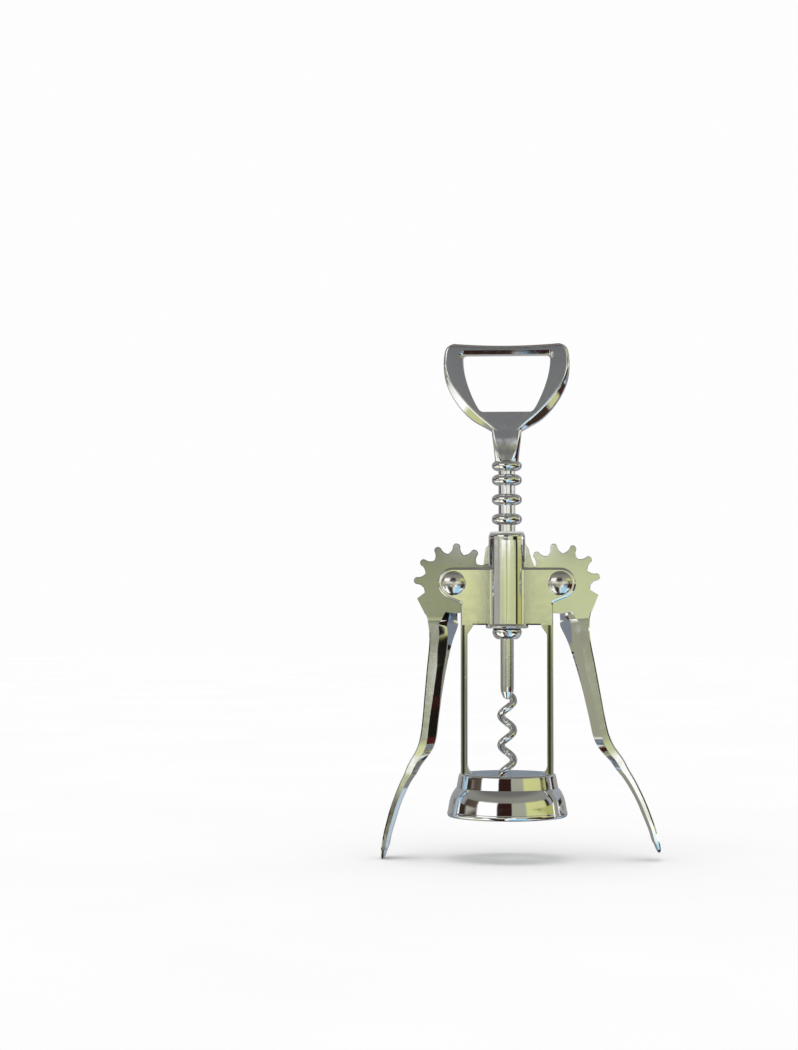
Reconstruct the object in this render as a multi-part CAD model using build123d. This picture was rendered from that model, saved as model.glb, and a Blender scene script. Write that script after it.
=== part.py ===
from build123d import *
import math
import os

# Wing corkscrew, millimetres.
# Origin: centre of the bell's lower mouth. +Z up the worm axis to the handle,
# X along the wings, -Y the front.

os.makedirs("parts", exist_ok=True)

# ---------------------------------------------------------------- dimensions
pivot_x = 18.65          # lever pivots, either side of the axis
pivot_z = 81.5
gear_teeth = 12
ring_pitch = 6.9         # rings of the stem
pitch_r = gear_teeth * ring_pitch / (2 * math.pi)
gear_root_r = 10.6
gear_tip_r = 14.05
gear_half = 2.3          # half thickness of the gears
tooth_nose_r = 1.25
tooth_angle = 25.65      # first tooth above the level line, left wing at rest
wing_play = 5.5          # free play taken up: the right wing hangs more open

ring_r = 5.3
core_r = 2.95
ring_z0 = pivot_z + 1.8  # ring centre nearest to the pivots
nose_bottom, nose_top = 61.9, 65.7

barrel_r = 6.45
bore_r = 5.6
barrel_bottom, barrel_top = 66.9, 98.9
bush_seat_r = 5.95
bush_r_out, bush_r_in = 5.88, 5.38

cheek_in, cheek_out = 2.6, 3.75
web_r = 1.3              # hollow fillet between barrel and cheeks
cheek_top = 87.0
cheek_edge_r = 0.8        # rounded outer edge of the cheeks
cheek_corner_z = 74.6     # corner between ear and leg
corner_r = 0.8
ear_r = 5.5
rivet_r = 1.97
rivet_bore = 2.03
head_r = 4.3

leg_x0, leg_x1 = 14.0, 16.15
bell_h = 15.0
lip_bore_r = 15.4        # seats a bottle lip
bell_mouth_r = 19.0
liner_top = 8.0

neck_bottom = 124.3
handle_half = 4.0
tang_r = 2.2

shank_r = 2.35
wire_r = 1.3
helix_r = 2.2
helix_pitch = 10.4
helix_top, helix_bottom = 43.0, 9.2


def save(shape, name):
    export_step(shape, f"parts/{name}.step")


def one(shape):
    """Largest solid of a shape."""
    return sorted(shape.solids(), key=lambda s: -s.volume)[0]


def slab(points, y0, y1, spline=False):
    """Closed outline in the XZ plane, pulled from y0 to y1."""
    edges = Polyline(*[(x, 0, z) for x, z in points], close=True)
    face = make_face(edges)
    solid = extrude(face, amount=(y1 - y0), dir=(0, 1, 0))
    return solid.moved(Location((0, y0, 0)))


def loop(segments, y0, y1):
    """Closed outline of straight (2 point) and spline runs, pulled along Y."""
    edges = []
    for seg in segments:
        pts = [(x, 0, z) for x, z in seg]
        edges.append(Line(*pts) if len(pts) == 2 else Spline(*pts))
    solid = extrude(make_face(edges), amount=(y1 - y0), dir=(0, 1, 0))
    return solid.moved(Location((0, y0, 0)))


def smooth(points, n=6):
    """Catmull-Rom points through an open run."""
    p = [points[0]] + list(points) + [points[-1]]
    out = []
    for i in range(1, len(p) - 2):
        for k in range(n):
            t = k / n
            a, b, c, d = p[i - 1], p[i], p[i + 1], p[i + 2]
            out.append(tuple(
                0.5 * (2 * b[j] + (c[j] - a[j]) * t
                       + (2 * a[j] - 5 * b[j] + 4 * c[j] - d[j]) * t * t
                       + (3 * b[j] - a[j] - 3 * c[j] + d[j]) * t ** 3)
                for j in (0, 1)))
    out.append(tuple(points[-1]))
    return out


def ycyl(x, z, r, y0, y1):
    c = Cylinder(r, y1 - y0, rotation=(90, 0, 0))
    return c.moved(Location((x, (y0 + y1) / 2, z)))


def turned(points):
    """Revolve an (r, z) outline about Z."""
    face = make_face(Polyline(*[(r, 0, z) for r, z in points], close=True))
    return revolve(face, Axis.Z, 360)


def turned_runs(runs):
    """Revolve a closed (r, z) outline of straight (2 point) and curved runs."""
    edges = []
    for seg in runs:
        pts = [(r, 0, z) for r, z in seg]
        edges.append(Line(*pts) if len(pts) == 2 else Spline(*pts))
    return revolve(make_face(edges), Axis.Z, 360)


def straight(points):
    return [[a, b] for a, b in zip(points, points[1:])]


def zcyl(r, z0, z1):
    return Cylinder(r, z1 - z0).moved(Location((0, 0, (z0 + z1) / 2)))


def soften(shape, edges, sizes):
    """Fillet with the first size that works."""
    for s in sizes:
        try:
            r = fillet(edges, s)
            if r.is_valid and abs(r.volume) > 0.5 * abs(shape.volume):
                return r
        except Exception:
            pass
    return shape


# ---------------------------------------------------------------- handle
def opener_handle():
    side = [(-4.6, 134.4), (-7.4, 136.1), (-11.3, 138.3), (-16.2, 142.9), (-19.8, 148.4),
            (-21.6, 153.2), (-22.15, 158.0), (-21.9, 162.0), (-21.2, 164.2), (-19.6, 165.5),
            (-17.4, 165.75)]
    top = [side[-1], (-9.0, 165.25), (0.0, 165.05), (9.0, 165.25), (17.4, 165.75)]
    # how far the flat faces stand in from the outline: a broad bevel low down
    inset = [0.7, 1.6, 2.5, 2.7, 2.1, 1.0, 0.4, 0.3, 0.3, 0.3, 0.3]
    flip = lambda run: [(-x, z) for x, z in reversed(run)]

    def outline(k, y):
        run = []
        for i, (x, z) in enumerate(side):
            ax, az = side[max(i - 1, 0)]
            bx, bz = side[min(i + 1, len(side) - 1)]
            n = math.hypot(bx - ax, bz - az)
            run.append((x + k * inset[i] * (bz - az) / n, z - k * inset[i] * (bx - ax) / n))
        crown = [run[-1]] + [(x, z - k * inset[-1]) for x, z in top[1:-1]] + [(-run[-1][0], run[-1][1])]
        edges = []
        for seg in (run, crown, flip(run), [(-run[0][0], run[0][1]), run[0]]):
            pts = [(x, y, z) for x, z in seg]
            edges.append(Line(*pts) if len(pts) == 2 else Spline(*pts))
        return make_face(edges)

    waist = 1.7
    plate = extrude(outline(0, -waist), amount=2 * waist, dir=(0, 1, 0))
    for ym in (-1, 1):
        plate = plate + loft([outline(1, ym * handle_half), outline(0, ym * waist)], ruled=True)
    plate = one(plate)
    rims = [e for e in plate.edges() if e.center().Z > 135.5
            and abs(abs(e.center().Y) - handle_half) < 1e-3]
    plate = soften(plate, rims, [0.9, 0.7, 0.5, 0.3])
    rims = [e for e in plate.edges() if e.center().Z > 135.5
            and abs(abs(e.center().Y) - waist) < 1e-3]
    plate = soften(plate, rims, [1.2, 0.9, 0.6, 0.4, 0.25])
    # opener window
    low_run = [(0.0, 141.6), (-7.6, 141.6)]
    corner = [(-7.6, 141.6), (-9.2, 142.0), (-10.2, 143.3), (-11.6, 146.0), (-13.5, 150.6),
              (-14.8, 155.2), (-15.35, 160.2)]
    upper = [(-15.35, 160.2), (-15.1, 161.3), (-14.2, 161.8)]
    window = loop([low_run, corner, upper, [(-14.2, 161.8), (14.2, 161.8)], flip(upper),
                   flip(corner), [(7.6, 141.6), (0.0, 141.6)]], -9, 9)
    plate = one(plate - window)
    # bevelled lower edge of the top bar, where the cap bears, and its corner pockets
    for side_y in (-1, 1):
        bevel = Box(30.0, 2.1, 2.1, rotation=(45, 0, 0)).moved(
            Location((0, side_y * (handle_half + 0.15), 161.9)))
        plate = plate - bevel
        for sx in (-1, 1):
            pocket = Sphere(1.35).moved(Location((sx * 15.3, side_y * (handle_half + 0.25), 161.6)))
            plate = plate - pocket
    # neck: flat in front and behind, rounded at the sides, tapering down
    neck = loft([Plane.XY.offset(z) * RectangleRounded(w, d, r) for z, w, d, r in (
        (neck_bottom, 8.3, 6.8, 2.6), (126.6, 8.6, 7.5, 1.7), (129.4, 9.2, 7.92, 1.1),
        (135.4, 10.4, 7.98, 0.9))])
    neck = neck + loft([Plane.XY.offset(z) * RectangleRounded(w, d, r) for z, w, d, r in (
        (135.4, 10.4, 7.98, 0.9), (138.6, 12.6, 7.98, 0.9))])
    body = one(plate + neck)
    body = body - zcyl(tang_r + 0.02, neck_bottom - 1, 134.0)
    body = body - ycyl(0, 130.0, 1.0, -2.7, 9)
    return one(body)


# ---------------------------------------------------------------- stem
def ring_outline(zc, up=2.0):
    return [(core_r, zc - 2.0), (4.35, zc - 1.6), (5.12, zc - 0.85), (ring_r, zc),
            (5.12, zc + 0.85), (4.35, zc + 1.6), (core_r, zc + up)]


def ring_rack():
    runs = [[(0, nose_bottom), (3.4, nose_bottom)],
            [(3.4, nose_bottom), (4.4, 62.6), (5.05, 63.8), (5.15, 64.8), (4.7, 65.6), (core_r, 66.2)]]
    z = 66.2
    for k in range(-2, 6):
        zc = ring_z0 + k * ring_pitch
        runs += [[(core_r, z), (core_r, zc - 2.0)], ring_outline(zc)]
        z = zc + 2.0
    zc = 122.9
    runs += [[(core_r, z), (core_r, zc - 2.0)],
             [(core_r, zc - 2.0), (4.35, zc - 1.6), (5.12, zc - 0.85), (ring_r, zc), (5.0, zc + 0.85), (4.15, neck_bottom)]]
    runs += straight([(4.15, neck_bottom), (tang_r, neck_bottom), (tang_r, 133.8), (0, 133.8), (0, nose_bottom)])
    stem = turned_runs(runs)
    stem = stem - zcyl(1.62, nose_bottom - 1, 72.0)
    stem = stem - ycyl(0, 63.9, 0.75, -9, 9)
    stem = stem - ycyl(0, 130.0, 1.0, -2.7, 9)
    return one(stem)


def worm_screw():
    """Right-handed steel wire, straight shank, tapered and pointed tip."""
    shank = turned([(0, 71.8), (1.6, 71.8), (1.6, nose_bottom), (shank_r, nose_bottom),
                    (shank_r, 45.2), (2.2, 43.5), (1.4, 41.5), (0, 40.7)])
    shank = shank - ycyl(0, 63.9, 0.75, -9, 9)
    height = helix_top - helix_bottom
    path = Helix(pitch=helix_pitch, height=height, radius=helix_r,
                 center=(0, 0, helix_bottom), direction=(0, 0, 1))
    start = path @ 0
    tangent = path % 0
    section = Plane(origin=start, z_dir=tangent) * Circle(wire_r)
    wire = sweep(section, path=path, is_frenet=True)
    # pointed end
    tip_plane = Plane(origin=start, z_dir=-tangent)
    tip = loft([tip_plane * Circle(wire_r), tip_plane.offset(2.6) * Circle(0.25)])
    worm = shank + wire
    worm = worm + tip
    return one(worm)


# ---------------------------------------------------------------- frame
def cheek(s, ym):
    """Half of a cheek plate with its ear, outer edge rounded; ym is -1 in front, +1 behind."""
    y0, y1 = sorted((ym * cheek_in, ym * cheek_out))
    dx, dz = leg_x1 - pivot_x, cheek_corner_z - pivot_z
    a = math.atan2(dz, dx) + math.acos(ear_r / math.hypot(dx, dz))
    on_ear = lambda t: (pivot_x + ear_r * math.cos(t), pivot_z + ear_r * math.sin(t))
    tx, tz = on_ear(a)
    # round the corner between the ear's lower line and the leg's outer side
    run = math.hypot(tx - leg_x1, tz - cheek_corner_z)
    ux, uz = (tx - leg_x1) / run, (tz - cheek_corner_z) / run
    half = math.acos(-uz) / 2
    t = corner_r / math.tan(half)
    bx, bz = ux, uz - 1.0
    k = math.hypot(bx, bz)
    bx, bz = bx / k, bz / k
    deep = corner_r / math.sin(half) - corner_r
    P = lambda q: (s * q[0], 0, q[1])
    edges = [Line(P((0, cheek_top)), P((pivot_x, cheek_top))),
             ThreePointArc(P((pivot_x, cheek_top)), P(on_ear((math.pi / 2 + a) / 2)), P((tx, tz))),
             Line(P((tx, tz)), P((leg_x1 + ux * t, cheek_corner_z + uz * t))),
             ThreePointArc(P((leg_x1 + ux * t, cheek_corner_z + uz * t)),
                           P((leg_x1 + bx * deep, cheek_corner_z + bz * deep)),
                           P((leg_x1, cheek_corner_z - t))),
             Line(P((leg_x1, cheek_corner_z - t)), P((leg_x1, barrel_bottom))),
             Line(P((leg_x1, barrel_bottom)), P((0, barrel_bottom))),
             Line(P((0, barrel_bottom)), P((0, cheek_top)))]
    solid = extrude(make_face(edges), amount=(y1 - y0), dir=(0, 1, 0)).moved(Location((0, y0, 0)))
    rim = [e for e in solid.edges() if abs(e.center().Y - ym * cheek_out) < 1e-3
           and e.center().Z > barrel_bottom + 0.1 and abs(e.center().X) > 0.1]
    return one(soften(solid, rim, [cheek_edge_r, 0.6, 0.45, 0.3]))


def frame_casting():
    barrel = turned_runs(straight([(0, 99.0), (0, 65.7), (6.6, 65.7)])
                         + [[(6.6, 65.7), (7.2, 65.82), (7.55, 66.25), (7.35, 66.75), (barrel_r, 67.3)]]
                         + [[(barrel_r, 67.3), (barrel_r, 96.6)],
                            [(barrel_r, 96.6), (6.42, 97.6), (6.3, 98.4), (5.98, barrel_top), (5.9, 99.0)],
                            [(5.9, 99.0), (0, 99.0)]])
    barrel = barrel - zcyl(8, barrel_top, 101)
    body = barrel
    for s in (-1, 1):
        for ym in (-1, 1):
            body = body + cheek(s, ym)
    # hollow fillets where the cheeks meet the barrel
    reach = math.sqrt((barrel_r + web_r) ** 2 - (cheek_out + web_r) ** 2)
    deep = (cheek_out + web_r) * barrel_r / (barrel_r + web_r)
    for sx in (-1, 1):
        for ym in (-1, 1):
            x0, x1 = sorted((sx * 3.4, sx * reach))
            y0, y1 = sorted((ym * (cheek_out - 0.5), ym * deep))
            web = Box(x1 - x0, y1 - y0, cheek_top - cheek_edge_r - barrel_bottom).moved(Location((
                (x0 + x1) / 2, (y0 + y1) / 2, (cheek_top - cheek_edge_r + barrel_bottom) / 2)))
            web = web - Cylinder(web_r, 40).moved(Location((sx * reach, ym * (cheek_out + web_r), 77)))
            body = body + web
    # bevel along the lower edge of the cheeks, between leg and barrel
    for sx in (-1, 1):
        for ym in (-1, 1):
            body = body - Box(5.2, 0.72, 0.72).rotate(Axis.X, 45).moved(Location((
                sx * 9.3, ym * cheek_out, barrel_bottom)))
    # the back cheek rises to the barrel
    body = body + slab([(0, 86.0), (-8.4, 86.0), (-8.3, 88.4), (-7.9, 91.6), (-7.5, 94.0),
                        (-6.6, 95.0), (0, 95.4)], cheek_in, cheek_out)
    body = body + slab([(0, 86.0), (9.9, 86.0), (9.6, 87.6), (8.9, 89.2), (8.3, 91.2),
                        (7.7, 93.6), (6.6, 95.4), (0, 95.8)], cheek_in, cheek_out)
    body = body - zcyl(bore_r, 50, 110)
    body = body - zcyl(bush_seat_r, 97.7, 110)
    for s in (-1, 1):
        body = body - ycyl(s * pivot_x, pivot_z, gear_tip_r + 0.35, -cheek_in + 0.04, cheek_in - 0.04)
        body = body - ycyl(s * pivot_x, pivot_z, rivet_r + 0.02, -9, 9)
    return one(body)


def leg(s):
    pts = [(s * (leg_x0 - 1.6), bell_h), (s * leg_x1, bell_h), (s * leg_x1, barrel_bottom),
           (s * 12.0, barrel_bottom), (s * 12.2, 66.2), (s * leg_x0, 63.6),
           (s * leg_x0, bell_h + 2.6), (s * (leg_x0 - 0.45), bell_h + 1.1)]
    solid = slab(pts, -cheek_out, cheek_out)
    side = slab([(-3.9, bell_h), (3.9, bell_h), (3.9, 56.0), (cheek_out, 64.0),
                 (cheek_out, 67.5), (-cheek_out, 67.5), (-cheek_out, 64.0), (-3.9, 56.0)],
                -30, 30).rotate(Axis.Z, 90)
    solid = one(solid & side)
    long = [e for e in solid.edges().filter_by(Axis.Z)]
    return soften(solid, long, [0.35, 0.2])


def bell():
    runs = [[(20.25, 0), (20.85, 0.35), (21.05, 1.05), (20.85, 1.95)],
            [(20.85, 1.95), (20.48, 4.0), (20.05, 6.1), (19.35, 7.9), (18.5, 9.3), (17.8, 10.15)],
            [(17.8, 10.15), (17.55, 11.4), (17.25, 13.1), (17.05, 14.1)],
            [(17.05, 14.1), (16.75, 14.75), (16.2, bell_h)]]
    runs += straight([(16.2, bell_h), (lip_bore_r, bell_h), (lip_bore_r, liner_top), (18.6, liner_top),
                      (18.6, 6.6), (bell_mouth_r, 5.7), (bell_mouth_r, 0), (20.25, 0)])
    return one(turned_runs(runs))


def bell_liner():
    return one(turned([(15.6, liner_top), (18.55, liner_top), (18.55, 6.75), (18.0, 6.2), (15.6, 7.2)]))


# ---------------------------------------------------------------- levers
def lever(s):
    """Wing with its gear; s is -1 for the left wing, +1 for the right."""
    # points are the left wing's; the right wing takes them with X reversed
    m = -s
    # height, outer edge, inner edge, half depth, inner bevel (start, knee, depth at knee), outer bevel
    rows = [(75.0, -29.4, -18.1, gear_half, 1.6, 1.3, 0.3, 0.15), (72.5, -28.85, -17.6, gear_half, 3.4, 2.4, 0.75, 0.2),
            (70.5, -28.35, -17.4, gear_half, 4.6, 2.8, 1.0, 0.25), (68.5, -27.8, -17.4, gear_half, 5.6, 3.1, 1.25, 0.3),
            (66.0, -27.3, -17.6, 2.45, 6.0, 3.2, 1.45, 0.35), (61.0, -27.2, -19.2, 2.78, 4.75, 1.6, 1.95, 0.4),
            (57.0, -27.5, -20.2, 3.05, 4.1, 0.7, 2.25, 0.4), (52.0, -28.0, -21.25, 3.38, 3.25, 0.15, 2.35, 0.4),
            (42.0, -28.85, -22.95, 4.05, 2.87, 0.12, 2.3, 0.4),
            (33.0, -29.6, -24.1, 4.65, 3.02, 0.12, 2.4, 0.4), (27.5, -30.35, -24.75, 5.02, 3.0, 0.12, 2.4, 0.4),
            (24.0, -31.4, -25.8, 5.24, 2.7, 0.12, 2.25, 0.4), (19.0, -34.1, -29.1, 5.47, 2.2, 0.1, 2.2, 0.4),
            (12.5, -37.1, -33.35, 5.7, 1.6, 0.1, 2.2, 0.45), (5.0, -40.1, -37.0, 5.85, 1.3, 0.1, 2.2, 0.5),
            (-2.0, -42.15, -39.3, 5.85, 1.15, 0.1, 2.1, 0.5), (-8.0, -43.5, -41.0, 5.65, 1.0, 0.1, 1.9, 0.5),
            (-12.0, -44.15, -42.1, 5.1, 0.8, 0.08, 1.6, 0.4), (-14.0, -44.2, -42.75, 4.2, 0.5, 0.06, 1.1, 0.3),
            (-14.7, -43.9, -43.1, 3.5, 0.25, 0.04, 0.7, 0.15)]
    zs = [r[0] for r in rows]

    def slope(i, j):
        """Slope of column j at row i that never overshoots."""
        if i in (0, len(rows) - 1):
            return 0.0 if j == 3 and i == 0 else (rows[max(i, 1)][j] - rows[max(i, 1) - 1][j]) / (zs[max(i, 1)] - zs[max(i, 1) - 1])
        p = (rows[i][j] - rows[i - 1][j]) / (zs[i] - zs[i - 1])
        q = (rows[i + 1][j] - rows[i][j]) / (zs[i + 1] - zs[i])
        return 0.0 if p * q <= 0 else 2 * p * q / (p + q)

    def row_at(z):
        i = max(k for k in range(len(rows) - 1) if zs[k] >= z - 1e-9)
        h = zs[i + 1] - zs[i]
        t = (z - zs[i]) / h
        out = [z]
        for j in range(1, 8):
            a, b = rows[i][j], rows[i + 1][j]
            out.append((2 * t ** 3 - 3 * t * t + 1) * a + (t ** 3 - 2 * t * t + t) * h * slope(i, j)
                       + (3 * t * t - 2 * t ** 3) * b + (t ** 3 - t * t) * h * slope(i + 1, j))
        return out

    def section(row):
        z, xo, xi, h, bs, bk, bd, o = row
        pts = [(xo, -h + o), (xo + o, -h), (xi - bs, -h), (xi - bk, -h + bd), (xi, -0.3),
               (xi, 0.3), (xi - bk, h - bd), (xi - bs, h), (xo + o, h), (xo, h - o)]
        return make_face(Polyline(*[(m * x, y, z) for x, y in pts], close=True))

    # flat as far as the shoulder, then deeper all the way down to the blade
    head = loft([section(row_at(z)) for z in (75.0, 73.4, 71.8, 70.1, 68.5)], ruled=True)
    n = 20
    arm = head + loft([section(row_at(68.5 - k * (68.5 + 11.6) / n)) for k in range(n + 1)])
    tip = loft([section(row_at(z)) for z in (-11.6, -12.8, -13.6, -14.3, -14.7)], ruled=True)
    arm = arm + tip
    # shoulder that carries the arm into the gear, with the last tooth's spur
    shoulder = slab([(m * x, z) for x, z in [
        (-31.5, 76.2), (-30.3, 73.8), (-29.3, 71.9), (-28.6, 70.5), (-22.2, 70.5), (-20.9, 72.4), (-19.5, 74.7),
        (-18.65, 81.5), (-24.0, 82.0)]], -gear_half, gear_half)
    arm = arm + shoulder
    disc = ycyl(-m * pivot_x, pivot_z, gear_root_r, -gear_half, gear_half)
    gear = disc
    for k in range(-1, 6):
        a = math.radians(tooth_angle + 30.0 * k)
        ca, sa = math.cos(a), math.sin(a)
        def P(r, t):
            return (m * (-pivot_x + r * ca - t * sa), pivot_z + r * sa + t * ca)
        base = slab([P(9.5, -2.9), P(10.6, -2.2), P(11.3, -1.6), P(12.2, -1.28), P(12.8, -1.22),
                     P(12.8, 1.22), P(12.2, 1.28), P(11.3, 1.6), P(10.6, 2.2), P(9.5, 2.9)],
                    -gear_half, gear_half)
        cx, cz = P(gear_tip_r - tooth_nose_r, 0)
        tooth = base + ycyl(cx, cz, tooth_nose_r, -gear_half, gear_half)
        gear = gear + tooth
    rim = [e for e in gear.edges() if abs(abs(e.center().Y) - gear_half) < 1e-3]
    gear = soften(gear, rim, [0.3, 0.2])
    body = gear + arm
    body = body - ycyl(-m * pivot_x, pivot_z, rivet_bore, -9, 9)
    body = one(body)
    # free play between teeth and rings: the right wing hangs more open
    if s > 0:
        body = body.rotate(Axis((pivot_x, 0, pivot_z), (0, 1, 0)), -wing_play)
    return body


# ---------------------------------------------------------------- small pieces
def rivet(s):
    n = 2 * cheek_out + 1.0      # shank, under the head
    solid = turned_runs(straight([(0, n + 2.1), (0, 0), (rivet_r, 0), (rivet_r, n), (head_r, n), (head_r, n + 0.25)])
                        + [[(head_r, n + 0.25), (3.95, n + 0.85), (3.1, n + 1.45), (1.7, n + 1.93), (0, n + 2.1)]])
    # along -Y: head in front
    solid = solid.rotate(Axis.X, 90)
    return one(solid.moved(Location((s * pivot_x, n - cheek_out, pivot_z))))


def rivet_cap(s):
    face = make_face(Polyline(*[(r, 0, z) for r, z in [
        (rivet_r + 0.02, 0), (3.4, 0), (3.3, 0.6), (2.8, 1.2), (1.8, 1.65), (0, 1.8),
        (0, 1.05), (rivet_r + 0.02, 1.05)]], close=True))
    solid = revolve(face, Axis.Z, 360).rotate(Axis.X, -90)
    return one(solid.moved(Location((s * pivot_x, cheek_out, pivot_z))))


def washers(s):
    out = []
    for ym in (-1, 1):
        y0, y1 = sorted((ym * (gear_half + 0.05), ym * (cheek_in - 0.04)))
        out.append(one(ycyl(s * pivot_x, pivot_z, 4.3, y0, y1)
                       - ycyl(s * pivot_x, pivot_z, rivet_r + 0.05, -9, 9)))
    return Compound(children=out)


def guide_bush():
    return one(turned([(bush_r_in, 97.8), (bush_r_out, 97.8), (bush_r_out, barrel_top + 0.05),
                       (6.08, barrel_top + 0.07), (6.0, 99.3), (5.75, 99.55), (5.5, 99.62),
                       (bush_r_in, 99.5)]))


def pin(z, r, y0, y1):
    return one(ycyl(0, z, r, y0, y1))


def main():
    save(opener_handle(), "opener_handle")
    save(ring_rack(), "ring_rack")
    save(worm_screw(), "worm_screw")
    save(pin(63.9, 0.73, -4.6, 4.6), "worm_pin")
    save(pin(130.0, 0.98, -2.6, 3.9), "handle_pin")
    save(guide_bush(), "guide_bush")
    save(frame_casting(), "frame_casting")
    save(leg(-1), "left_leg")
    save(leg(1), "right_leg")
    save(bell(), "bell")
    save(bell_liner(), "bell_liner")
    for s, side in ((-1, "left"), (1, "right")):
        save(lever(s), side + "_lever")
        save(rivet(s), side + "_rivet")
        save(rivet_cap(s), side + "_rivet_cap")
        save(washers(s), side + "_washers")


main()
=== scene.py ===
import bpy, bmesh, math
from mathutils import Vector, Matrix


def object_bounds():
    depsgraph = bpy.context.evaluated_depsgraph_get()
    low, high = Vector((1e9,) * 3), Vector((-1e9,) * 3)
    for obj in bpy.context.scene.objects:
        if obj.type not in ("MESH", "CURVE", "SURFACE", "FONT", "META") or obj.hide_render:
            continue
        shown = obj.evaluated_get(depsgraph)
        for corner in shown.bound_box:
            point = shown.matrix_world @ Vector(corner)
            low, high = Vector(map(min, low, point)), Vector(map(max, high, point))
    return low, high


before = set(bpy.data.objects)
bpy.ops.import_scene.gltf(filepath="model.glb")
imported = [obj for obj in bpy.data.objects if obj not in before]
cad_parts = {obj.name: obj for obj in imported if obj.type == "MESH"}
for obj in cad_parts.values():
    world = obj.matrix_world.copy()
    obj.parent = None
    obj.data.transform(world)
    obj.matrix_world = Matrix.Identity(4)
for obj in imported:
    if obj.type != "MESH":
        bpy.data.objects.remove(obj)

cad_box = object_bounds()
MM = 0.001


# ------------------------------------------------------------------ camera
cam_data = bpy.data.cameras.new("camera")
cam = bpy.data.objects.new("camera", cam_data)
bpy.context.scene.collection.objects.link(cam)
bpy.context.scene.camera = cam
cam_data.sensor_fit = 'HORIZONTAL'
cam_data.sensor_width = 36.0
cam_data.lens = 2293.0 / 798.0 * 36.0
cam_data.clip_start = 0.02
cam_data.clip_end = 40.0
yaw, pitch = -0.0716, 0.0345
fwd = Vector((math.sin(yaw) * math.cos(pitch), math.cos(yaw) * math.cos(pitch), math.sin(pitch)))
right = Vector((math.cos(yaw), -math.sin(yaw), 0.0))
up = right.cross(fwd)
rot = Matrix((right, up, -fwd)).transposed().to_4x4()
cam.matrix_world = Matrix.Translation(Vector((0.0198, -0.8062, 0.0742))) @ rot


# ------------------------------------------------------------------ nodes
def new_mat(name):
    m = bpy.data.materials.new(name)
    m.use_nodes = True
    nt = m.node_tree
    nt.nodes.clear()
    out = nt.nodes.new("ShaderNodeOutputMaterial")
    b = nt.nodes.new("ShaderNodeBsdfPrincipled")
    nt.links.new(b.outputs[0], out.inputs[0])
    return m, nt, b


def node(nt, kind, **kw):
    n = nt.nodes.new(kind)
    for k, v in kw.items():
        if k in n.inputs and not hasattr(n, k):
            n.inputs[k].default_value = v
        elif hasattr(n, k):
            setattr(n, k, v)
        else:
            n.inputs[k].default_value = v
    return n


def noise(nt, coord, scale, detail=4.0, rough=0.55, stretch=None):
    src = coord
    if stretch:
        mp = nt.nodes.new("ShaderNodeMapping")
        mp.inputs["Scale"].default_value = stretch
        nt.links.new(coord, mp.inputs["Vector"])
        src = mp.outputs[0]
    n = nt.nodes.new("ShaderNodeTexNoise")
    n.inputs["Scale"].default_value = scale
    n.inputs["Detail"].default_value = detail
    n.inputs["Roughness"].default_value = rough
    nt.links.new(src, n.inputs["Vector"])
    return n.outputs["Fac"]


def ramp(nt, fac, stops):
    r = nt.nodes.new("ShaderNodeValToRGB")
    el = r.color_ramp.elements
    while len(el) > 1:
        el.remove(el[-1])
    el[0].position, el[0].color = stops[0][0], tuple(stops[0][1]) + (1.0,)
    for p, c in stops[1:]:
        e = el.new(p)
        e.color = tuple(c) + (1.0,)
    nt.links.new(fac, r.inputs[0])
    return r.outputs[0]


def mix(nt, fac, a, b):
    mx = nt.nodes.new("ShaderNodeMix")
    mx.data_type = 'RGBA'
    nt.links.new(fac, mx.inputs["Factor"])
    for key, v in (("A", a), ("B", b)):
        if isinstance(v, tuple):
            mx.inputs[key].default_value = v + (1.0,)
        else:
            nt.links.new(v, mx.inputs[key])
    return mx.outputs["Result"]


def g(v):
    return (v, v, v)


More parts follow.
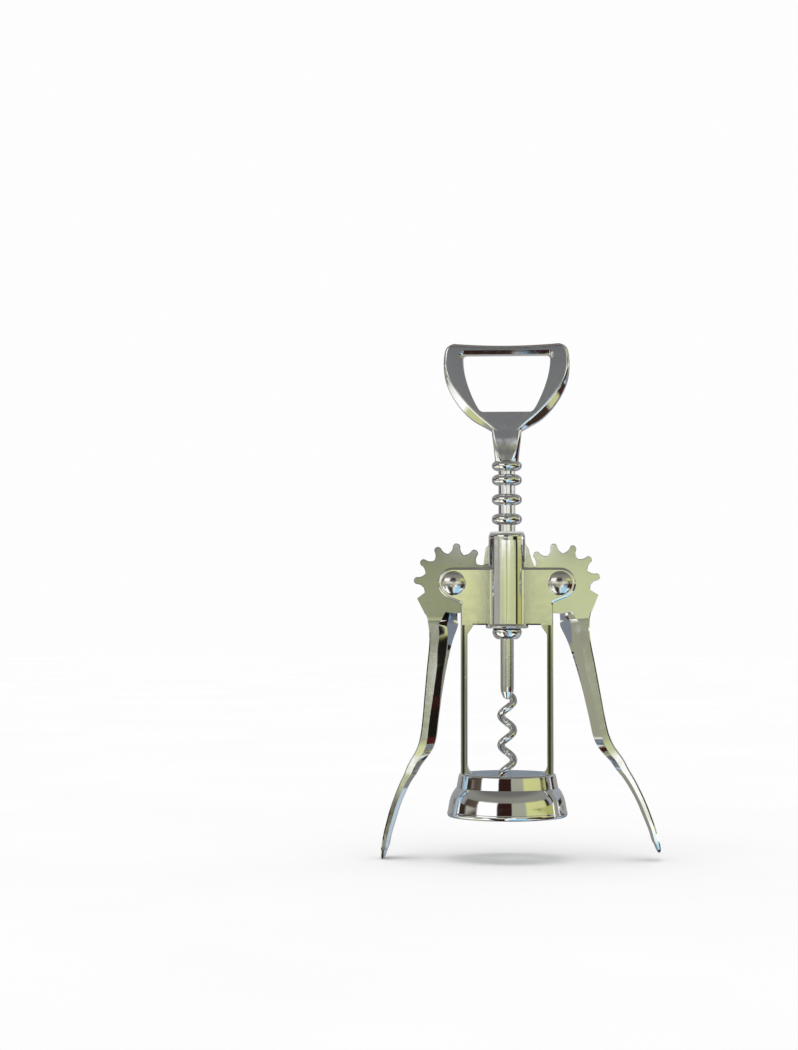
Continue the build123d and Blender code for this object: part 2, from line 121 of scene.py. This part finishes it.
def plated(name, tone, warm, rough_lo, rough_hi, orange=0.10, cast=0.25, streak=None, pit=0.35, painted_shade_above=None,
           bore_rough_and_painted_tint=None, painted_dark_stripe=None):
    """Bright plating over a casting: faint orange peel, slow waviness, a few
    pits, wiped roughness and painted shade darkening the hollows."""
    m, nt, b = new_mat(name)
    tc = nt.nodes.new("ShaderNodeTexCoord")
    co = tc.outputs["Object"]
    big = noise(nt, co, 55.0, 3.0, 0.5)
    mid = noise(nt, co, 420.0, 5.0, 0.6)
    fine = noise(nt, co, 1800.0, 4.0, 0.6, streak)
    geo = nt.nodes.new("ShaderNodeNewGeometry")
    # colour: plating tone, warmer where the film is thin
    lo = tuple(tone * w for w in warm)
    hi = tuple(min(1.0, tone * 1.06) for _ in range(3))
    base = ramp(nt, big, [(0.25, lo), (0.75, hi)])
    # painted shade: concave spots (low pointiness) darkened to 0.8
    painted_crease_shade = ramp(nt, geo.outputs["Pointiness"], [(0.44, g(0.80)), (0.50, g(1.0)), (0.60, g(1.0))])
    mul = nt.nodes.new("ShaderNodeMix")
    mul.data_type = 'RGBA'
    mul.blend_type = 'MULTIPLY'
    mul.inputs["Factor"].default_value = 1.0
    nt.links.new(base, mul.inputs["A"])
    nt.links.new(painted_crease_shade, mul.inputs["B"])
    tone_out = mul.outputs["Result"]
    if painted_shade_above:
        # painted shade: tone multiplied by a darker colour above a height
        sep = nt.nodes.new("ShaderNodeSeparateXYZ")
        nt.links.new(co, sep.inputs[0])
        mr = nt.nodes.new("ShaderNodeMapRange")
        mr.inputs["From Min"].default_value = painted_shade_above[0]
        mr.inputs["From Max"].default_value = painted_shade_above[1]
        nt.links.new(sep.outputs["Z"], mr.inputs["Value"])
        painted_shade_mix = nt.nodes.new("ShaderNodeMix")
        painted_shade_mix.data_type = 'RGBA'
        painted_shade_mix.blend_type = 'MULTIPLY'
        nt.links.new(mr.outputs["Result"], painted_shade_mix.inputs["Factor"])
        nt.links.new(tone_out, painted_shade_mix.inputs["A"])
        painted_shade_mix.inputs["B"].default_value = painted_shade_above[2] + (1.0,)
        tone_out = painted_shade_mix.outputs["Result"]
    if painted_dark_stripe:
        # painted shade: a dark vertical stripe standing in for a dark reflection in a groove: from, to, colour
        sp = nt.nodes.new("ShaderNodeSeparateXYZ")
        nt.links.new(co, sp.inputs[0])
        pos = nt.nodes.new("ShaderNodeMapRange")
        pos.inputs["From Min"].default_value = painted_dark_stripe[0] - 0.0010
        pos.inputs["From Max"].default_value = painted_dark_stripe[1] + 0.0010
        nt.links.new(sp.outputs["X"], pos.inputs["Value"])
        w = 0.0010 / (painted_dark_stripe[1] - painted_dark_stripe[0] + 0.0020)
        painted_stripe_mix = nt.nodes.new("ShaderNodeMix")
        painted_stripe_mix.data_type = 'RGBA'
        painted_stripe_mix.blend_type = 'MULTIPLY'
        nt.links.new(ramp(nt, pos.outputs["Result"], [(w * 0.7, g(0.0)), (w * 1.2, g(1.0)), (1.0 - w * 1.2, g(1.0)),
                                                      (1.0 - w * 0.7, g(0.0))]), painted_stripe_mix.inputs["Factor"])
        nt.links.new(tone_out, painted_stripe_mix.inputs["A"])
        painted_stripe_mix.inputs["B"].default_value = painted_dark_stripe[2] + (1.0,)
        tone_out = painted_stripe_mix.outputs["Result"]
    # roughness: wiped and slightly cloudy
    r1 = ramp(nt, mid, [(0.30, g(rough_lo)), (0.75, g(rough_hi))])
    if bore_rough_and_painted_tint:
        # inside the bell within a radius: unpolished, rougher and less metallic, with a painted cool grey-blue
        # reflection tone
        sp = nt.nodes.new("ShaderNodeSeparateXYZ")
        nt.links.new(co, sp.inputs[0])
        xy = nt.nodes.new("ShaderNodeCombineXYZ")
        nt.links.new(sp.outputs["X"], xy.inputs["X"])
        nt.links.new(sp.outputs["Y"], xy.inputs["Y"])
        ln = nt.nodes.new("ShaderNodeVectorMath")
        ln.operation = 'LENGTH'
        nt.links.new(xy.outputs[0], ln.inputs[0])
        inside = nt.nodes.new("ShaderNodeMath")
        inside.operation = 'LESS_THAN'
        nt.links.new(ln.outputs["Value"], inside.inputs[0])
        inside.inputs[1].default_value = bore_rough_and_painted_tint
        tone_out = mix(nt, inside.outputs[0], tone_out, (0.50, 0.56, 0.64))
        r1 = mix(nt, inside.outputs[0], r1, g(0.55))
        metal = nt.nodes.new("ShaderNodeMath")
        metal.operation = 'MULTIPLY_ADD'
        nt.links.new(inside.outputs[0], metal.inputs[0])
        metal.inputs[1].default_value = -0.8
        metal.inputs[2].default_value = 1.0
    nt.links.new(tone_out, b.inputs["Base Color"])
    nt.links.new(r1, b.inputs["Roughness"])
    # bump: casting waviness, peel and sparse pits
    vor = nt.nodes.new("ShaderNodeTexVoronoi")
    vor.inputs["Scale"].default_value = 330.0
    nt.links.new(co, vor.inputs["Vector"])
    pits = ramp(nt, vor.outputs["Distance"], [(0.0, g(0.0)), (0.10, g(1.0))])
    b1 = nt.nodes.new("ShaderNodeBump")
    b1.inputs["Strength"].default_value = cast
    b1.inputs["Distance"].default_value = 0.0006
    nt.links.new(big, b1.inputs["Height"])
    b2 = nt.nodes.new("ShaderNodeBump")
    b2.inputs["Strength"].default_value = orange
    b2.inputs["Distance"].default_value = 0.00008
    nt.links.new(fine, b2.inputs["Height"])
    nt.links.new(b1.outputs[0], b2.inputs["Normal"])
    b3 = nt.nodes.new("ShaderNodeBump")
    b3.inputs["Strength"].default_value = pit
    b3.inputs["Distance"].default_value = 0.00003
    nt.links.new(pits, b3.inputs["Height"])
    nt.links.new(b2.outputs[0], b3.inputs["Normal"])
    nt.links.new(b3.outputs[0], b.inputs["Normal"])
    b.inputs["Metallic"].default_value = 1.0
    if bore_rough_and_painted_tint:
        nt.links.new(metal.outputs[0], b.inputs["Metallic"])
    return m


def moulded(name, dark, light, rough, scale=900.0):
    m, nt, b = new_mat(name)
    tc = nt.nodes.new("ShaderNodeTexCoord")
    n1 = noise(nt, tc.outputs["Object"], scale, 5.0, 0.6)
    nt.links.new(ramp(nt, n1, [(0.3, dark), (0.7, light)]), b.inputs["Base Color"])
    nt.links.new(ramp(nt, n1, [(0.3, g(rough)), (0.7, g(rough + 0.12))]), b.inputs["Roughness"])
    bp = nt.nodes.new("ShaderNodeBump")
    bp.inputs["Strength"].default_value = 0.25
    bp.inputs["Distance"].default_value = 0.00005
    nt.links.new(n1, bp.inputs["Height"])
    nt.links.new(bp.outputs[0], b.inputs["Normal"])
    return m


MAT = {
    "handle": plated("plating_handle", 0.86, (0.985, 0.99, 1.0), 0.04, 0.09, 0.03, 0.015, None, 0.12),
    "frame": plated("plating_frame", 0.88, (1.0, 0.995, 0.95), 0.04, 0.09, 0.03, 0.010, None, 0.30),
    # painted shade: the legs are darker copies of the frame plating, the right leg darker, each with a painted dark
    # stripe
    "leg_left_painted_shade": plated("plating_left_leg_painted_shade", 0.80, (1.0, 0.995, 0.95), 0.04, 0.09, 0.03, 0.010, None, 0.30,
                       painted_dark_stripe=(-0.0156, -0.0148, (0.10, 0.10, 0.09))),
    "leg_right_painted_shade": plated("plating_right_leg_painted_shade", 0.72, (1.0, 0.995, 0.95), 0.04, 0.09, 0.03, 0.010, None, 0.30,
                        painted_dark_stripe=(0.0144, 0.0153, (0.16, 0.15, 0.15))),
    "lever": plated("plating_levers", 0.86, (0.99, 0.99, 0.94), 0.04, 0.09, 0.03, 0.014, None, 0.25),
    # painted shade: a darker copy of the lever plating, darkened above 67-70 mm to match a darker reflection
    "lever_left_painted_shade": plated("plating_left_lever_painted_shade", 0.86, (0.99, 0.99, 0.94), 0.04, 0.09, 0.03, 0.014, None, 0.25,
                         (0.0672, 0.0700, (0.45, 0.46, 0.52))),
    "bell": plated("plating_bell", 0.86, (0.98, 0.985, 1.0), 0.03, 0.08, 0.05, 0.03, None, 0.20,
                   bore_rough_and_painted_tint=0.0157),
    "stem": plated("plating_stem", 0.86, (0.99, 0.99, 0.99), 0.05, 0.10, 0.04, 0.014, (1.0, 1.0, 14.0)),
    "worm": plated("worm_wire", 0.86, (0.99, 0.985, 0.97), 0.03, 0.07, 0.05, 0.03, (1.0, 1.0, 6.0)),
    "rivet": plated("rivet_heads", 0.80, (1.0, 0.96, 0.90), 0.15, 0.20, 0.04, 0.03),
    "pin": plated("plain_steel", 0.60, (0.99, 0.99, 1.0), 0.22, 0.36, 0.25, 0.05),
    "nylon": moulded("natural_nylon", (0.62, 0.62, 0.58), (0.74, 0.74, 0.70), 0.38),
    "liner": moulded("liner_plastic", (0.018, 0.018, 0.020), (0.035, 0.035, 0.038), 0.42),
}
USE = {
    "opener_handle": "handle", "ring_rack": "stem", "worm_screw": "worm", "worm_pin": "pin",
    "handle_pin": "pin", "guide_bush": "nylon", "frame_casting": "frame", "left_leg": "leg_left_painted_shade",
    "right_leg": "leg_right_painted_shade", "bell": "bell", "bell_liner": "liner", "left_lever": "lever_left_painted_shade",
    "right_lever": "lever", "left_rivet": "rivet", "right_rivet": "rivet",
    "left_rivet_cap": "rivet", "right_rivet_cap": "rivet", "left_washers": "pin", "right_washers": "pin",
}
for n, key in USE.items():
    ob = bpy.data.objects.get(n)
    if ob is None:
        continue
    if not ob.material_slots:
        ob.data.materials.append(MAT[key])
    for sl in ob.material_slots:
        sl.material = MAT[key]


# ------------------------------------------------------------------ studio
bpy.context.scene.view_settings.view_transform = 'Standard'
bpy.context.scene.view_settings.look = 'None'


def link_obj(ob):
    bpy.context.scene.collection.objects.link(ob)
    return ob


def mesh_obj(name, verts, faces, mat):
    me = bpy.data.meshes.new(name)
    me.from_pydata(verts, [], faces)
    me.materials.append(mat)
    return link_obj(bpy.data.objects.new(name, me))


floor_z = cad_box[0][2] - 0.0002
fm, nt, b = new_mat("floor_pale")
b.inputs["Roughness"].default_value = 0.9
b.inputs["Specular IOR Level"].default_value = 0.0
tc = nt.nodes.new("ShaderNodeTexCoord")
nt.links.new(ramp(nt, noise(nt, tc.outputs["Object"], 9.0), [(0.3, g(0.93)), (0.7, g(0.95))]), b.inputs["Base Color"])
ring = [(3.2 * math.cos(math.radians(a)), 3.2 * math.sin(math.radians(a)), floor_z) for a in range(0, 360, 10)]
floor = mesh_obj("floor", ring, [tuple(range(len(ring)))], fm)
floor.visible_glossy = False


def unit(nt, sock, lo, hi):
    mr = nt.nodes.new("ShaderNodeMapRange")
    mr.inputs["From Min"].default_value = lo
    mr.inputs["From Max"].default_value = hi
    nt.links.new(sock, mr.inputs["Value"])
    return mr.outputs["Result"]


def board(name, y, x0, x1, z0, z1, columns):
    """Painted reflection board in front of the object, seen by reflections
    alone: columns are (x, [(z, colour), ...]) in metres."""
    m = bpy.data.materials.new(name + "_paint")
    m.use_nodes = True
    nt = m.node_tree
    nt.nodes.clear()
    out = nt.nodes.new("ShaderNodeOutputMaterial")
    em = nt.nodes.new("ShaderNodeEmission")
    geo = nt.nodes.new("ShaderNodeNewGeometry")
    sep = nt.nodes.new("ShaderNodeSeparateXYZ")
    nt.links.new(geo.outputs["Position"], sep.inputs[0])
    fz = unit(nt, sep.outputs["Z"], z0, z1)
    fx = unit(nt, sep.outputs["X"], x0, x1)
    cur, last = None, None
    for x, stops in columns:
        col = ramp(nt, fz, [((z - z0) / (z1 - z0), c) for z, c in stops])
        if cur is None:
            cur = col
        else:
            f = ramp(nt, fx, [((last - x0) / (x1 - x0), g(0.0)), ((x - x0) / (x1 - x0), g(1.0))])
            cur = mix(nt, f, cur, col)
        last = x
    nt.links.new(cur, em.inputs["Color"])
    nt.links.new(em.outputs[0], out.inputs[0])
    ob = mesh_obj(name, [(x0, y, z0), (x1, y, z0), (x1, y, z1), (x0, y, z1)], [(0, 1, 2, 3)], m)
    ob.visible_camera = False
    ob.visible_shadow = False
    ob.visible_diffuse = False
    return ob


PALE = (0.70, 0.73, 0.39)
PALE_R = (0.58, 0.63, 0.36)
MID = (0.325, 0.34, 0.232)
DIM = (0.265, 0.28, 0.175)
LOW = (0.29, 0.30, 0.145)
GREY = (0.180, 0.184, 0.192)
GREY_L = (0.225, 0.232, 0.232)
LIGHT = (0.62, 0.62, 0.60)
BLOB = (0.030, 0.012, 0.010)
WHITE = (1.25, 1.25, 1.25)
FOOT = (0.55, 0.56, 0.40)


NECK = (0.165, 0.168, 0.172)
OLV_H = (0.38, 0.39, 0.31)


def column(low, band, mid, grey, high, mid_top=0.262, under=FOOT):
    return [(-0.40, under), (-0.14, under), (-0.10, low), (0.040, low), (0.050, band),
            (0.112, band), (0.128, mid), (mid_top, mid), (mid_top + 0.008, grey), (0.338, grey),
            (0.356, high), (0.75, high)]


def centre(low, band, grey, high, under=FOOT):
    """Column in front of the barrel, stem and neck: pale, white, then grey."""
    return [(-0.40, under), (-0.14, under), (-0.10, low), (0.040, low), (0.050, band),
            (0.126, band), (0.136, WHITE), (0.222, WHITE), (0.228, grey), (0.338, grey),
            (0.356, high), (0.75, high)]


side = centre((0.21, 0.24, 0.29), (0.60, 0.62, 0.44), (0.40, 0.40, 0.40), WHITE, (0.21, 0.24, 0.29))
neck = [(-0.40, NECK), (0.24, NECK), (0.25, GREY), (0.338, GREY), (0.356, BLOB), (0.75, BLOB)]
right = centre(LIGHT, PALE, LIGHT, OLV_H, WHITE)
cool = centre((0.21, 0.24, 0.29), PALE, LIGHT, OLV_H, (0.21, 0.24, 0.29))
left_blade = [(-0.40, (0.02, 0.015, 0.012)), (-0.16, (0.02, 0.015, 0.012)), (-0.12, (0.08, 0.07, 0.05)),
              (-0.075, (0.28, 0.28, 0.20)), (-0.035, (0.56, 0.59, 0.35)), (0.008, (0.62, 0.64, 0.36)), (0.024, WHITE),
              (0.040, WHITE), (0.052, PALE), (0.118, PALE), (0.130, MID), (0.290, MID), (0.310, GREY_L), (0.338, GREY_L),
              (0.356, BLOB), (0.75, BLOB)]
right_blade = [(-0.40, (0.10, 0.10, 0.07)), (-0.26, (0.35, 0.36, 0.24)), (-0.16, (0.62, 0.66, 0.40)), (-0.10, WHITE),
               (0.046, WHITE), (0.056, PALE_R), (0.130, PALE_R),
               (0.150, MID), (0.290, MID), (0.310, GREY), (0.338, GREY), (0.356, BLOB), (0.75, BLOB)]
board("front_board", -1.5, -0.95, 0.62, -0.40, 0.75, [
    (-0.95, side), (-0.56, side),
    (-0.50, centre((0.33, 0.33, 0.26), PALE, GREY_L, BLOB)),
    (-0.170, centre((0.33, 0.33, 0.26), PALE, GREY_L, BLOB)),
    (-0.156, left_blade), (-0.124, left_blade),
    (-0.119, column(DIM, PALE, MID, GREY_L, BLOB, 0.290)),
    (-0.101, column(DIM, PALE, MID, GREY_L, BLOB, 0.290)),
    (-0.098, centre(DIM, PALE, GREY, BLOB)),
    (-0.059, centre(DIM, PALE, GREY, BLOB)),
    (-0.055, neck), (-0.021, neck),
    (-0.017, centre(LOW, PALE, GREY, BLOB)),
    (0.006, centre(LOW, PALE_R, GREY, BLOB)),
    (0.011, column(LOW, PALE_R, MID, GREY, BLOB, 0.262)),
    (0.032, column(LOW, PALE_R, MID, GREY, BLOB, 0.262)),
    (0.046, column(LOW, PALE_R, MID, GREY, BLOB, 0.290)),
    (0.052, right_blade), (0.100, right_blade),
    (0.120, centre(LOW, PALE, GREY, BLOB, WHITE)),
    (0.25, centre(LOW, PALE, GREY, BLOB, WHITE)),
    (0.29, right), (0.445, right), (0.475, cool), (0.62, cool)])


sun = bpy.data.lights.new("soft_sun", 'SUN')
sun.energy = 0.80
sun.angle = math.radians(50)
ob = bpy.data.objects.new("soft_sun", sun)
bpy.context.scene.collection.objects.link(ob)
ob.rotation_euler = (0.12, -0.10, 0.0)
ob.visible_glossy = False

# soft surroundings: rings of tone round the horizon, grey above, pale below
world = bpy.data.worlds.new("studio")
bpy.context.scene.world = world
world.use_nodes = True
nt = world.node_tree
nt.nodes.clear()
out = nt.nodes.new("ShaderNodeOutputWorld")
bg = nt.nodes.new("ShaderNodeBackground")
tc = nt.nodes.new("ShaderNodeTexCoord")
sep = nt.nodes.new("ShaderNodeSeparateXYZ")
nt.links.new(tc.outputs["Generated"], sep.inputs[0])
neg = nt.nodes.new("ShaderNodeMath")
neg.operation = 'MULTIPLY'
neg.inputs[1].default_value = -1.0
nt.links.new(sep.outputs["Y"], neg.inputs[0])
at = nt.nodes.new("ShaderNodeMath")
at.operation = 'ARCTAN2'
nt.links.new(sep.outputs["X"], at.inputs[0])
nt.links.new(neg.outputs[0], at.inputs[1])
around = unit(nt, at.outputs[0], -math.pi, math.pi)
DARK = (0.030, 0.020, 0.012)
BACK = (0.40, 0.40, 0.40)


def band(stops):
    return ramp(nt, around, [((d + 180.0) / 360.0, c) for d, c in stops])


OLV = (0.50, 0.51, 0.36)
YEL = (0.58, 0.60, 0.31)
BLUE = (0.42, 0.78, 1.05)
COOL = (0.21, 0.24, 0.29)
nadir = (0.035, 0.016, 0.013)
OLIVE_F = (0.33, 0.33, 0.25)
ICE = (0.50, 0.62, 0.74)
below = band([(-180, (0.45, 0.45, 0.44)), (-150, (0.30, 0.30, 0.29)), (-112, (0.35, 0.35, 0.30)), (-95, YEL),
              (-74, YEL), (-64, WHITE), (-37, WHITE), (-33, DARK), (-5, DARK), (-2, WHITE), (2, WHITE), (6, BLUE),
              (44, BLUE), (60, WHITE), (70, (0.05, 0.03, 0.02)), (112, (0.05, 0.03, 0.02)), (122, ICE), (134, ICE),
              (150, (0.33, 0.34, 0.35)), (180, (0.45, 0.45, 0.44))])
low = band([(-180, BACK), (-150, COOL), (-126, (0.30, 0.30, 0.24)), (-108, (0.85, 0.86, 0.80)), (-70, WHITE),
            (-37, WHITE), (-33, DARK), (-5, DARK), (-2, WHITE), (2, WHITE),
            (6, BLUE), (40, BLUE), (52, WHITE), (70, WHITE), (75, YEL), (85, YEL),
            (89, (0.05, 0.03, 0.02)), (113, (0.05, 0.03, 0.02)), (120, ICE), (130, ICE), (142, COOL), (180, BACK)])
dim = band([(-180, BACK), (-150, COOL), (-126, (0.30, 0.30, 0.24)), (-108, (0.85, 0.86, 0.80)), (-70, WHITE),
            (-66, OLIVE_F), (-50, OLIVE_F), (-46, WHITE), (-37, WHITE), (-33, DARK), (-5, DARK), (-2, WHITE), (2, WHITE),
            (6, BLUE), (36, BLUE), (44, (0.012, 0.010, 0.009)), (70, (0.012, 0.010, 0.009)), (76, (0.075, 0.016, 0.013)),
            (112, (0.05, 0.03, 0.02)), (120, ICE), (130, ICE), (142, COOL), (180, BACK)])
deep = band([(-180, BACK), (-150, COOL), (-126, (0.30, 0.30, 0.24)), (-110, (0.36, 0.36, 0.28)),
             (-44, OLIVE_F), (-38, COOL), (-24, COOL), (10, LIGHT), (16, COOL), (39, COOL),
             (43, (0.012, 0.010, 0.009)), (64, (0.085, 0.016, 0.013)), (100, (0.065, 0.013, 0.011)),
             (112, (0.20, 0.22, 0.25)), (156, (0.26, 0.29, 0.33)), (180, BACK)])
under = band([(-180, BACK), (-150, COOL), (-126, (0.30, 0.30, 0.24)), (-110, (0.36, 0.36, 0.28)),
              (-44, OLIVE_F), (-38, COOL), (-24, COOL), (10, LIGHT), (16, COOL), (38, COOL),
              (42, (0.010, 0.009, 0.008)), (98, (0.010, 0.009, 0.008)),
              (110, (0.20, 0.22, 0.25)), (156, (0.26, 0.29, 0.33)), (180, BACK)])
level = band([(-180, BACK), (-140, (0.32, 0.32, 0.31)), (-124, DARK), (-92, (0.040, 0.026, 0.016)),
              (-86, (0.40, 0.395, 0.36)), (-47, (0.40, 0.395, 0.36)), (-40, (0.62, 0.65, 0.39)),
              (54, (0.62, 0.65, 0.37)), (58, (0.50, 0.52, 0.22)), (60, (0.014, 0.012, 0.010)), (70, (0.014, 0.012, 0.010)),
              (73, (0.46, 0.47, 0.17)), (106, (0.44, 0.45, 0.16)), (110, (0.85, 0.85, 0.85)), (122, (0.85, 0.85, 0.85)),
              (126, DARK), (138, DARK), (146, (0.34, 0.34, 0.33)), (180, BACK)])
bright = band([(-180, BACK), (-146, (0.34, 0.34, 0.34)), (-104, (0.22, 0.22, 0.22)), (-84, (0.16, 0.15, 0.14)),
               (-77, WHITE), (-60, WHITE), (-58, (0.38, 0.38, 0.33)), (-49, (0.38, 0.38, 0.33)), (-47, WHITE), (44, WHITE), (47, (0.08, 0.078, 0.07)), (70, (0.05, 0.045, 0.04)), (72, WHITE),
               (98, WHITE), (102, (0.30, 0.30, 0.30)), (112, WHITE), (124, WHITE), (130, (0.34, 0.34, 0.33)), (180, BACK)])
facet = band([(-180, BACK), (-140, (0.32, 0.32, 0.31)), (-124, DARK), (-92, (0.040, 0.026, 0.016)),
              (-86, (0.40, 0.395, 0.36)), (-47, (0.40, 0.395, 0.36)), (-40, (0.62, 0.65, 0.39)),
              (36, (0.62, 0.65, 0.37)), (40, COOL), (43, (0.012, 0.010, 0.009)), (66, (0.012, 0.010, 0.009)),
              (73, (0.46, 0.47, 0.17)), (106, (0.44, 0.45, 0.16)), (110, (0.85, 0.85, 0.85)), (122, (0.85, 0.85, 0.85)),
              (126, DARK), (138, DARK), (146, (0.34, 0.34, 0.33)), (180, BACK)])
raised = band([(-180, BACK), (-150, (0.33, 0.34, 0.36)), (-98, (0.30, 0.31, 0.34)), (-92, (0.07, 0.05, 0.035)),
               (-63, (0.11, 0.085, 0.065)), (-59, WHITE), (-20, WHITE), (-16, BLOB), (9, BLOB), (13, (0.38, 0.39, 0.31)),
               (37, (0.38, 0.39, 0.31)), (42, (0.66, 0.68, 0.28)), (84, (0.62, 0.63, 0.30)), (88, DARK), (93, DARK),
               (98, (0.34, 0.37, 0.42)), (150, (0.36, 0.38, 0.42)), (180, BACK)])
over = band([(-180, (0.27, 0.27, 0.27)), (-60, (0.25, 0.25, 0.22)), (60, (0.27, 0.27, 0.24)), (180, (0.27, 0.27, 0.27))])
top = (0.162, 0.155, 0.148)


def at_height(lo, hi):
    return unit(nt, sep.outputs["Z"], math.sin(math.radians(lo)), math.sin(math.radians(hi)))


cur = mix(nt, at_height(-66, -58), nadir, below)
cur = mix(nt, at_height(-38, -35), cur, low)
cur = mix(nt, at_height(-29, -27), cur, dim)
cur = mix(nt, at_height(-16, -13), cur, deep)
cur = mix(nt, at_height(-8.0, -6.2), cur, under)
cur = mix(nt, at_height(-1.9, -1.5), cur, level)
cur = mix(nt, at_height(1.70, 1.95), cur, bright)
cur = mix(nt, at_height(3.7, 4.2), cur, facet)
cur = mix(nt, at_height(10, 12), cur, raised)
cur = mix(nt, at_height(25, 30), cur, over)
cur = mix(nt, at_height(44, 60), cur, top)
lp = nt.nodes.new("ShaderNodeLightPath")
cur = mix(nt, lp.outputs["Is Diffuse Ray"], cur, (0.80, 0.80, 0.80))
cur = mix(nt, lp.outputs["Is Camera Ray"], cur, (0.985, 0.985, 0.985))
nt.links.new(cur, bg.inputs[0])
nt.links.new(bg.outputs[0], out.inputs[0])
